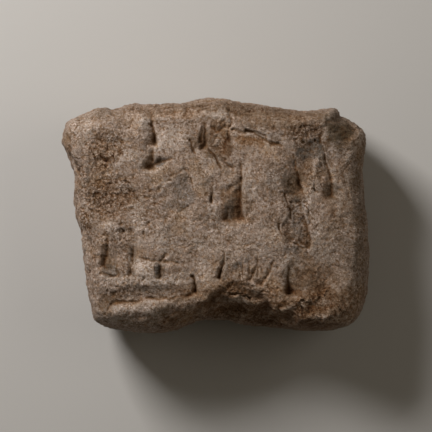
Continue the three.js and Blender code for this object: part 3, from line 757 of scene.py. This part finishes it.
# Partly clay rubbed pale and partly painted light: highlights on rims and slopes that face the lamp, and
# lightened shade.
PALE_AND_LIT_PLACES = [
    # the upper left
    (-12.0, 15.6, 1.1, 1.1, 0, 1.0), (-22.4, 14.2, 2.4, 3.0, 20, 0.6), (-17.4, 12.4, 1.2, 2.2, 0, 0.5),
    (-9.5, 11.7, 0.7, 1.3, 0, 0.9), (-20.4, 10.4, 1.0, 1.2, 0, 0.4), (-14.4, 10.2, 1.6, 0.9, 20, 0.6),
    (-20.6, 8.8, 1.2, 1.6, 0, 0.5), (-18.0, 6.7, 1.8, 0.7, 0, 0.8),
    # the top
    (0.4, 17.6, 2.0, 1.5, 0, 0.8), (-7.4, 13.2, 2.8, 3.4, 0, 0.55), (-1.2, 12.3, 0.5, 0.6, 0, 0.6),
    (0.4, 12.3, 1.2, 1.4, 0, 0.6), (0.4, 12.3, 0.7, 0.8, 0, 1.0), (0.3, 11.9, 0.7, 0.6, 0, 0.7),
    # the upper right
    (19.4, 16.8, 1.0, 1.0, 0, 1.0), (18.6, 16.2, 1.6, 1.2, 0, 0.8), (15.8, 15.4, 1.0, 0.9, 0, 0.8),
    (24.3, 13.4, 1.4, 1.7, 0, 1.0), (14.6, 12.3, 1.1, 0.5, 0, 0.7), (23.0, 11.8, 1.0, 1.4, 0, 0.6),
    (17.6, 9.4, 0.7, 1.2, -20, 0.9), (17.8, 9.2, 0.9, 1.2, 0, 0.6), (17.4, 9.0, 0.8, 1.8, -20, 0.8),
    (17.0, 8.8, 0.9, 1.8, -20, 0.5),
    # the left
    (-15.0, 4.9, 1.6, 0.8, 0, 0.8), (-15.2, 4.8, 1.6, 1.2, 0, 0.6), (-12.4, 0.9, 1.4, 1.3, 0, 0.5),
    (-13.2, 0.6, 1.8, 3.2, 0, 0.8), (-22.7, -1.8, 1.0, 1.0, 0, 0.6), (-17.9, -1.8, 1.7, 0.9, 0, 0.8),
    (-17.0, -2.8, 0.8, 0.6, 0, 0.8), (-22.5, -4.4, 1.0, 5.6, 5, 0.7),
    # the middle
    (-8.3, 4.6, 1.5, 1.3, 0, 0.6), (5.6, 4.4, 1.0, 5.0, 0, 0.4), (-0.7, 1.2, 1.2, 1.4, 0, 0.5),
    (2.0, -1.5, 4.0, 3.0, 0, 0.3), (-1.0, -4.6, 2.6, 2.6, 0, 0.3), (-8.6, -5.0, 3.6, 1.2, 0, 0.5),
    (-3.2, -5.0, 1.4, 1.1, 0, 0.7), (-8.4, -5.2, 1.2, 0.8, 0, 0.6),
    # the right
    (9.4, 6.0, 1.6, 1.6, 0, 0.5), (22.6, 6.0, 1.0, 2.0, 0, 0.7), (12.9, 5.9, 0.6, 0.6, 0, 0.7),
    (20.2, 5.4, 1.0, 1.2, 0, 0.5), (16.4, 4.8, 1.4, 1.5, 0, 0.6), (13.9, 1.5, 1.2, 1.6, 0, 0.8),
    (15.5, 0.9, 0.7, 3.2, 0, 0.8), (11.8, -0.6, 0.7, 0.7, 0, 0.6), (14.2, -2.6, 0.5, 1.0, 0, 0.7),
    (13.2, -2.8, 1.4, 1.2, 0, 0.5), (17.1, -3.8, 1.0, 2.8, 0, 1.0), (18.6, -3.8, 2.6, 3.6, 0, 0.5),
    (9.2, -4.6, 2.8, 3.6, 0, 0.4), (17.2, -4.9, 1.3, 1.0, 30, 0.8), (18.0, -5.4, 2.6, 2.8, 0, 0.6),
    # the lower left
    (-12.2, -8.9, 2.0, 2.0, 0, 1.0), (-17.2, -9.2, 1.1, 0.9, 0, 1.0), (-11.4, -10.0, 2.2, 1.6, 0, 1.0),
    (-11.0, -10.9, 7.6, 1.0, 0, 0.9), (-11.6, -12.4, 2.4, 0.7, 0, 0.7), (-15.0, -14.2, 1.6, 0.6, 0, 0.8),
    (-10.0, -14.8, 8.0, 0.7, 5, 0.3), (-10.0, -16.2, 1.4, 0.8, 0, 0.6), (-9.6, -16.6, 1.6, 0.8, 0, 0.5),
    (-16.0, -17.4, 2.4, 0.7, 0, 0.9), (-19.2, -17.8, 2.0, 1.0, 0, 0.9), (-10.4, -18.4, 1.0, 0.8, 0, 0.6),
    # the bottom
    (-5.2, -9.8, 2.0, 0.7, 0, 0.9), (-1.8, -10.5, 2.4, 3.6, 10, 0.45), (6.5, -12.8, 0.8, 0.7, 0, 1.0),
    (6.4, -13.1, 0.9, 0.6, 0, 0.8), (3.8, -15.4, 1.4, 0.8, 0, 1.0), (3.0, -15.6, 2.6, 1.2, 0, 0.5),
    (3.8, -15.7, 1.5, 0.8, 0, 1.0), (-8.6, -16.8, 1.8, 0.8, 0, 0.5),
    # the lower right
    (18.1, -6.2, 1.5, 1.0, 0, 1.0), (18.8, -7.4, 1.6, 1.2, 0, 0.8), (12.8, -8.0, 1.4, 1.5, 20, 0.8),
    (23.8, -8.0, 1.4, 5.0, 0, 0.4), (12.2, -9.2, 1.0, 2.4, 20, 1.0), (23.6, -9.7, 1.0, 3.4, 0, 0.6),
    (16.2, -14.6, 1.4, 0.7, 0, 0.9), (18.2, -14.7, 1.4, 0.8, 0, 1.0), (14.4, -14.9, 1.2, 0.9, 0, 0.9),
    (12.5, -15.9, 0.8, 0.8, 0, 1.0), (12.7, -16.2, 1.4, 1.2, 0, 0.9), (21.0, -17.0, 1.6, 0.8, 0, 0.8),
    (18.6, -17.2, 2.6, 0.7, 0, 1.0), (20.5, -17.2, 2.0, 0.9, 0, 0.5),
]
# Painted shade, with some dirt worked in: beside steep walls and steps, under breaks, along the edges and in
# the chip below the upper right corner.
SHADE_AND_DIRT_PLACES = [
    # the upper left
    (-10.0, 18.4, 6.0, 1.4, 0, 0.6), (-18.0, 17.6, 5.0, 1.0, 0, 0.6), (-20.0, 17.2, 4.0, 1.2, 10, 0.6),
    (-15.6, 17.0, 1.8, 1.6, 0, 0.4), (-10.4, 13.1, 0.7, 1.2, 0, 0.7), (-23.6, 13.0, 2.0, 5.0, 0, 0.3),
    (-25.0, 12.0, 1.2, 3.6, 0, 0.8), (-19.0, 10.6, 3.2, 4.6, 0, 0.15), (-13.2, 10.6, 0.9, 1.2, 0, 0.5),
    (-11.3, 8.8, 1.0, 1.2, 0, 0.7),
    # the top
    (8.0, 18.0, 16.0, 1.5, -3, 1.0), (-2.1, 16.0, 0.7, 1.6, 0, 0.5), (-1.9, 12.8, 1.2, 2.8, 0, 1.0),
    (-3.8, 12.0, 0.6, 1.4, 0, 0.7), (2.1, 12.0, 0.9, 2.0, -5, 1.0), (-1.4, 10.4, 1.4, 1.0, 0, 0.8),
    (-0.8, 10.2, 1.6, 0.8, -30, 1.0), (0.9, 10.2, 2.3, 1.2, -45, 0.6), (-0.1, 9.7, 1.9, 0.3, -58, 1.0),
    (1.8, 8.9, 1.2, 1.7, 0, 0.4),
    # the upper right
    (21.6, 16.1, 0.9, 0.5, -20, 1.0), (12.0, 15.6, 8.0, 1.6, -4, 0.5), (13.6, 15.6, 6.0, 2.2, -2, 0.5),
    (21.0, 15.0, 4.0, 3.4, 0, 0.6), (21.0, 14.4, 2.8, 2.3, -25, 0.9), (22.0, 13.8, 2.6, 2.6, 0, 0.7),
    (20.2, 13.4, 0.8, 1.4, 0, 0.8), (16.0, 12.6, 3.4, 3.2, 0, 0.35), (17.3, 12.6, 0.6, 1.0, 0, 0.8),
    (18.0, 11.6, 1.4, 1.4, 0, 0.7), (20.3, 11.2, 0.8, 1.1, 0, 0.5), (15.8, 10.0, 1.6, 0.8, 16, 0.7),
    (14.9, 9.6, 2.2, 1.8, 0, 0.6), (14.6, 9.4, 2.4, 2.2, 0, 0.5), (12.9, 9.2, 1.2, 1.2, 0, 0.7),
    (18.0, 8.8, 1.2, 2.4, -15, 0.5), (23.4, 8.4, 0.9, 3.6, 0, 0.3), (12.4, 7.4, 1.7, 3.0, -15, 0.5),
    (15.0, 7.1, 0.8, 1.0, 0, 0.5), (14.8, 6.6, 0.8, 1.6, 0, 0.7), (14.0, 6.2, 0.7, 1.8, 0, 1.0),
    # the left
    (-23.2, 4.6, 1.0, 4.0, 0, 0.35), (-13.1, 3.7, 0.8, 1.0, 0, 0.5), (-18.0, 3.0, 8.0, 4.6, -5, 0.15),
    (-14.4, 3.0, 2.0, 1.2, 0, 0.4), (-20.1, -0.4, 0.8, 1.8, 0, 0.6), (-20.7, -1.6, 0.8, 0.9, 0, 0.7),
    (-21.8, -4.0, 2.4, 12.0, 5, 0.2),
    # the middle
    (4.6, 5.2, 1.4, 2.0, 0, 0.4), (-0.7, 3.0, 0.7, 0.8, 0, 0.7), (3.2, 1.6, 2.0, 3.0, -20, 0.45),
    (2.2, -1.2, 1.6, 0.8, 0, 0.6), (-9.0, -2.6, 3.2, 1.6, 10, 0.35),
    # the right
    (18.9, 4.0, 1.0, 1.6, 0, 0.5), (13.0, 3.4, 1.8, 1.0, 0, 0.6), (11.8, 3.0, 1.2, 1.2, 0, 0.5),
    (18.6, 2.6, 1.9, 1.1, 0, 0.5), (12.4, -0.4, 1.5, 4.2, 0, 0.2), (15.2, -3.4, 0.9, 2.2, 0, 0.6),
    (12.1, -3.6, 1.3, 1.4, 30, 1.0),
    # the lower left
    (-17.3, -6.4, 0.8, 2.6, 0, 0.6), (-18.4, -6.6, 1.1, 2.5, 0, 1.0), (-18.8, -7.2, 0.8, 1.8, 0, 0.7),
    (-11.6, -7.2, 2.4, 0.7, 0, 0.4), (-14.4, -8.5, 0.8, 0.8, 0, 0.7), (-16.4, -9.2, 0.5, 0.8, 0, 0.5),
    (-14.0, -9.2, 0.6, 0.8, 0, 0.6), (-10.5, -12.6, 7.6, 1.4, 2, 0.2), (-17.1, -13.8, 0.7, 0.9, 0, 0.8),
    (-18.6, -15.2, 1.8, 1.8, 0, 0.9),
    # the bottom
    (1.2, -7.8, 3.2, 2.2, 0, 0.35), (-9.0, -9.4, 0.6, 1.2, 0, 0.8), (0.9, -9.8, 0.6, 1.6, 0, 0.7),
    (6.5, -10.2, 0.6, 1.3, 0, 0.7), (-2.8, -12.2, 1.0, 1.4, 0, 0.7), (2.9, -12.2, 0.8, 1.2, 0, 0.8),
    (-4.0, -12.4, 1.0, 1.4, 0, 0.2), (3.6, -12.4, 4.0, 1.8, 0, 0.45), (2.0, -13.0, 6.0, 1.8, 0, 0.5),
    (-5.6, -14.1, 3.4, 0.5, 2, 0.8), (5.6, -14.4, 1.2, 0.7, 0, 0.8), (5.6, -14.6, 1.4, 0.7, 0, 0.8),
    (-6.6, -15.4, 4.0, 1.4, 12, 0.5), (-0.9, -16.0, 1.2, 1.8, 0, 0.7), (-7.8, -18.0, 1.2, 0.9, 0, 0.6),
    # the lower right
    (18.5, -7.0, 7.0, 6.0, 0, 0.5), (13.8, -11.0, 1.8, 2.4, 0, 0.8), (15.6, -11.0, 3.2, 2.6, 0, 1.0),
    (12.6, -11.4, 1.0, 2.2, 0, 1.0), (17.0, -15.0, 7.2, 3.4, 0, 0.6), (23.9, -16.0, 1.2, 1.8, 0, 0.5),
    (14.2, -17.2, 1.4, 2.2, 0, 1.0), (17.6, -18.7, 5.0, 0.7, 0, 0.8),
]

edges = np.empty(len(tablet_mesh.edges) * 2, np.int32)
tablet_mesh.edges.foreach_get("vertices", edges)
edges = edges.reshape(-1, 2)
neighbours = np.bincount(edges.ravel(), minlength=len(worn))[:, None]


def blurred(points, rounds):
    """Points moved again and again halfway to the middle of their neighbours."""
    for _ in range(rounds):
        total = np.zeros_like(points)
        for axis in range(3):
            total[:, axis] = np.bincount(edges[:, 0], points[edges[:, 1], axis], len(points))
            total[:, axis] += np.bincount(edges[:, 1], points[edges[:, 0], axis], len(points))
        points = (points + total / neighbours) / 2
    return points


# How far each point lies below its surroundings, close by and further round.
worn_normals = normals_of(tablet_mesh)
near = np.einsum("ij,ij->i", blurred(worn, 8) - worn, worn_normals)
wide = np.einsum("ij,ij->i", blurred(worn, 60) - worn, worn_normals)

# Dirt and painted shade darken pits, hollows and strokes, but less in fresh breaks, crumbled places and on
# the sides.
pitted = 0.8 * smooth_step(near, 0.01, 0.09) + 0.5 * smooth_step(wide, 0.03, 0.6)
pressed = 0.9 * smooth_step(face_share * (strokes + cracks), 0.3, 1.2)
less_darkened = 0.6 * np.max([bite_share, crumbled, side_share], axis=0)

pale_and_lit = patches(PALE_AND_LIT_PLACES)
# What the finish has to know of each point, kept in the mesh.
MARKS = {
    "hollow": np.maximum(pitted, pressed) * (1 - less_darkened),
    "ridge": 0.6 * smooth_step(-near, 0.0, 0.07) + 0.3 * smooth_step(-wide, 0.05, 0.4),
    "broken": np.maximum(patches(BROKEN_PLACES), 0.7 * bite_share) * (1 - 0.6 * pale_and_lit),
    "rough": rough * (0.35 + 0.65 * face_share),
    "side": smooth_step(side_share, 0.4, 1),
    "stain": patches(STAINED_PLACES),
    "olive_and_shade": patches(OLIVE_AND_SHADE_PLACES),
    "pale_and_lit": pale_and_lit,
    # painted shade on the sides as well, growing over the rounding to full below the rim
    "shade_and_dirt": np.maximum(patches(SHADE_AND_DIRT_PLACES), 0.4 * smooth_step(side_share, 0.1, 0.8)),
}
for name, values in MARKS.items():
    attribute = tablet_mesh.attributes.new(name, "FLOAT", "POINT")
    attribute.data.foreach_set("value", np.clip(values, 0, 1).astype(np.float32))

CLAY = (0.332, 0.257, 0.207)
CLAY_PALE = (0.50, 0.425, 0.370)
CLAY_DARK = (0.165, 0.110, 0.064)
BROKEN_CLAY = (0.185, 0.104, 0.050)
DIRT_AND_SHADE = (0.085, 0.040, 0.014)
BLUE_GREY = (0.140, 0.124, 0.110)
OLIVE_AND_SHADE = (0.062, 0.044, 0.025)
OCHRE = (0.36, 0.222, 0.102)

# What specks and creases, broken clay and hollows, and the places of painted shade and dirt multiply the
# colour by.
RUSTIER = (0.86, 0.70, 0.50)
DARKER = (0.45, 0.33, 0.20)
LIGHTER = (1.60, 1.61, 1.68)
WARMER = (0.98, 0.84, 0.60)
SHADE_AND_DIRT_TINT = (0.44, 0.38, 0.30)

clay = bpy.data.materials.new("clay")
clay.use_nodes = True
nodes = clay.node_tree.nodes
links = clay.node_tree.links
shader = nodes["Principled BSDF"]
place = nodes.new("ShaderNodeTexCoord").outputs["Object"]


def grain(size, detail=2.0, roughness=0.5):
    """A noise texture with bumps `size` millimetres across."""
    node = nodes.new("ShaderNodeTexNoise")
    node.inputs["Scale"].default_value = 1 / (size * MM)
    node.inputs["Detail"].default_value = detail
    node.inputs["Roughness"].default_value = roughness
    links.new(place, node.inputs["Vector"])
    return node.outputs["Fac"]


def stretched(value, start, end, low=0.0, high=1.0):
    """`value` from start to end, spread over low to high."""
    node = nodes.new("ShaderNodeMapRange")
    node.interpolation_type = "SMOOTHSTEP"
    for name, number in (("From Min", start), ("From Max", end), ("To Min", low), ("To Max", high)):
        node.inputs[name].default_value = number
    links.new(value, node.inputs["Value"])
    return node.outputs["Result"]


def times(first, second):
    """One value times another, or times a plain number."""
    node = nodes.new("ShaderNodeMath")
    node.operation = "MULTIPLY"
    for socket, value in zip(node.inputs, (first, second)):
        if isinstance(value, float):
            socket.default_value = value
        else:
            links.new(value, socket)
    return node.outputs["Value"]


def thin_lines(size, width):
    """1 along thin winding lines and 0 between them: the places where a noise passes its middle value."""
    node = nodes.new("ShaderNodeMath")
    node.operation = "COMPARE"
    links.new(grain(size, detail=3.0), node.inputs[0])
    node.inputs[1].default_value = 0.5
    node.inputs[2].default_value = width
    return node.outputs["Value"]


def mark(name):
    """One of the tablet's own marks, as a value from 0 to 1."""
    node = nodes.new("ShaderNodeAttribute")
    node.attribute_name = name
    return node.outputs["Fac"]


def patchy(name, size, low, start=0.3, detail=4.0):
    """A mark broken up by grain, and nowhere below `low` of its strength."""
    return times(mark(name), stretched(grain(size, detail=detail), start, 0.6, low=low))


def tinted(colour, tint, share, blend="MIX"):
    """`colour` with `tint` laid over it, or multiplied into it, where `share` is high."""
    node = nodes.new("ShaderNodeMix")
    node.data_type = "RGBA"
    node.blend_type = blend
    first, second, mixed = node.inputs[6], node.inputs[7], node.outputs[2]  # the sockets for colours
    links.new(share, node.inputs["Factor"])
    for socket, value in ((first, colour), (second, tint)):
        if isinstance(value, tuple):
            socket.default_value = (*value, 1)
        else:
            links.new(value, socket)
    return mixed


# Broad mottling of the dry clay, the dark and the brown of it weaker on the sides.
colour = tinted(CLAY, CLAY_PALE, stretched(grain(6.0, detail=4.0), 0.48, 0.72, high=0.5))
colour = tinted(colour, OCHRE, stretched(grain(4.5, detail=5.0, roughness=0.6), 0.50, 0.68, high=0.4))
colour = tinted(colour, BLUE_GREY, stretched(grain(5.5, detail=5.0, roughness=0.6), 0.52, 0.70, high=0.35))
plainer = stretched(mark("side"), 0, 1, low=1.0, high=0.45)
dark_mottling = stretched(grain(2.6, detail=6.0, roughness=0.65), 0.47, 0.72, high=0.7)
brown_mottling = stretched(grain(1.7, detail=5.0, roughness=0.6), 0.52, 0.72, high=0.45)
colour = tinted(colour, CLAY_DARK, times(dark_mottling, plainer))
colour = tinted(colour, BROKEN_CLAY, times(brown_mottling, plainer))

# What handling, breaks, stains and dirt have done to it, and the painted light and shade laid in with them.
# Rubbed clay and painted highlights.
colour = tinted(colour, CLAY_PALE, patchy("pale_and_lit", 0.8, low=0.5))
colour = tinted(colour, BROKEN_CLAY, patchy("broken", 1.2, low=0.4, start=0.35))
colour = tinted(colour, CLAY_PALE, times(mark("ridge"), 0.6))
colour = tinted(colour, BLUE_GREY, patchy("stain", 0.9, low=0.55))
# Painted shade, with some dirt, multiplied in.
colour = tinted(colour, SHADE_AND_DIRT_TINT, patchy("shade_and_dirt", 1.1, low=0.6, detail=5.0), "MULTIPLY")
# Olive stain and painted shadow.
colour = tinted(colour, OLIVE_AND_SHADE, patchy("olive_and_shade", 1.4, low=0.7))
# Dirt and painted shade in the hollows: darker and warmer where the hollow mark is high.
colour = tinted(colour, DIRT_AND_SHADE, times(mark("hollow"), 0.7))
colour = tinted(colour, WARMER, times(mark("hollow"), 0.9), "MULTIPLY")
colour = tinted(colour, WARMER, times(mark("broken"), 0.5), "MULTIPLY")

# Specks of grit: (size, where a speck starts and is full, strength, tint).
for size, start, full, strength, tint in (
    (0.60, 0.53, 0.62, 0.6, RUSTIER),
    (0.36, 0.55, 0.61, 0.8, DARKER),
    (0.34, 0.56, 0.62, 0.9, LIGHTER),
    (0.22, 0.55, 0.62, 0.8, DARKER),
    (0.16, 0.56, 0.62, 0.8, LIGHTER),
):
    specks = stretched(grain(size, detail=3.0, roughness=0.65), start, full, high=strength)
    colour = tinted(colour, tint, specks, "MULTIPLY")
for size, tint in ((0.26, DARKER), (0.19, LIGHTER)):  # more of them in the rough places
    specks = stretched(grain(size, detail=3.0, roughness=0.7), 0.52, 0.60)
    colour = tinted(colour, tint, times(mark("rough"), specks), "MULTIPLY")

# Hair-thin creases, darker and a little sunk.
creases = times(
    times(thin_lines(2.0, 0.026), stretched(grain(3.5), 0.45, 0.55)),
    stretched(mark("rough"), 0, 1, low=0.45, high=1.0),
)
colour = tinted(colour, DARKER, creases, "MULTIPLY")
links.new(colour, shader.inputs["Base Color"])

links.new(stretched(grain(1.0), 0.3, 0.7, low=0.86, high=0.98), shader.inputs["Roughness"])
shader.inputs["Specular IOR Level"].default_value = 0.3


def bumpy(heights, height, strength, under=None, sunk=False):
    """Bumps `height` millimetres high, or that deep, laid over those of `under`."""
    node = nodes.new("ShaderNodeBump")
    node.invert = sunk
    node.inputs["Strength"].default_value = strength
    node.inputs["Distance"].default_value = height * MM
    links.new(heights, node.inputs["Height"])
    if under is not None:
        links.new(under, node.inputs["Normal"])
    return node.outputs["Normal"]


sand = times(grain(0.30, detail=3.0, roughness=0.75), stretched(mark("rough"), 0, 1, low=1.0, high=2.2))
bumped = bumpy(sand, 0.17, strength=1.0)
bumped = bumpy(creases, 0.08, strength=0.7, under=bumped, sunk=True)
bumped = bumpy(grain(0.13), 0.06, strength=0.6, under=bumped)
links.new(bumped, shader.inputs["Normal"])
tablet_mesh.materials.append(clay)


# ======================================================================================
# Floor and light
# A plain pale floor, a soft lamp at the upper left, a wide dim one at the right that opens
# up the shadows, and a weak warm light from all round.
# ======================================================================================
FLOOR_REACH = 2.0
PAPER = (0.55, 0.54, 0.52)
ROOM_LIGHT = (1.0, 0.85, 0.62)

corners = [(-1, -1), (1, -1), (1, 1), (-1, 1)]
floor_mesh = bpy.data.meshes.new("floor")
floor_mesh.from_pydata([(FLOOR_REACH * x, FLOOR_REACH * y, 0) for x, y in corners], [], [(0, 1, 2, 3)])
floor = bpy.data.objects.new("floor", floor_mesh)
bpy.context.scene.collection.objects.link(floor)

paper = bpy.data.materials.new("paper")
paper.use_nodes = True
paper_shader = paper.node_tree.nodes["Principled BSDF"]
paper_shader.inputs["Base Color"].default_value = (*PAPER, 1)
paper_shader.inputs["Roughness"].default_value = 0.9
floor_mesh.materials.append(paper)


def lamp(name, place, size, power, colour):
    """A square lamp that shines on the tablet."""
    data = bpy.data.lights.new(name, "AREA")
    data.shape = "SQUARE"
    data.size = size
    data.energy = power
    data.color = colour
    light = bpy.data.objects.new(name, data)
    light.location = place
    light.rotation_euler = (-Vector(place)).to_track_quat("-Z", "Y").to_euler()
    bpy.context.scene.collection.objects.link(light)


lamp("key", (-0.16, 0.19, 0.19), size=0.11, power=0.98, colour=(1.0, 0.965, 0.94))
lamp("fill", (0.45, 0.10, 0.40), size=0.40, power=0.45, colour=(1.0, 0.92, 0.80))

world = bpy.data.worlds.new("studio")
bpy.context.scene.world = world
world.use_nodes = True
background = world.node_tree.nodes["Background"]
background.inputs["Color"].default_value = (*ROOM_LIGHT, 1)
background.inputs["Strength"].default_value = 0.05

bpy.context.scene.view_settings.view_transform = "Standard"
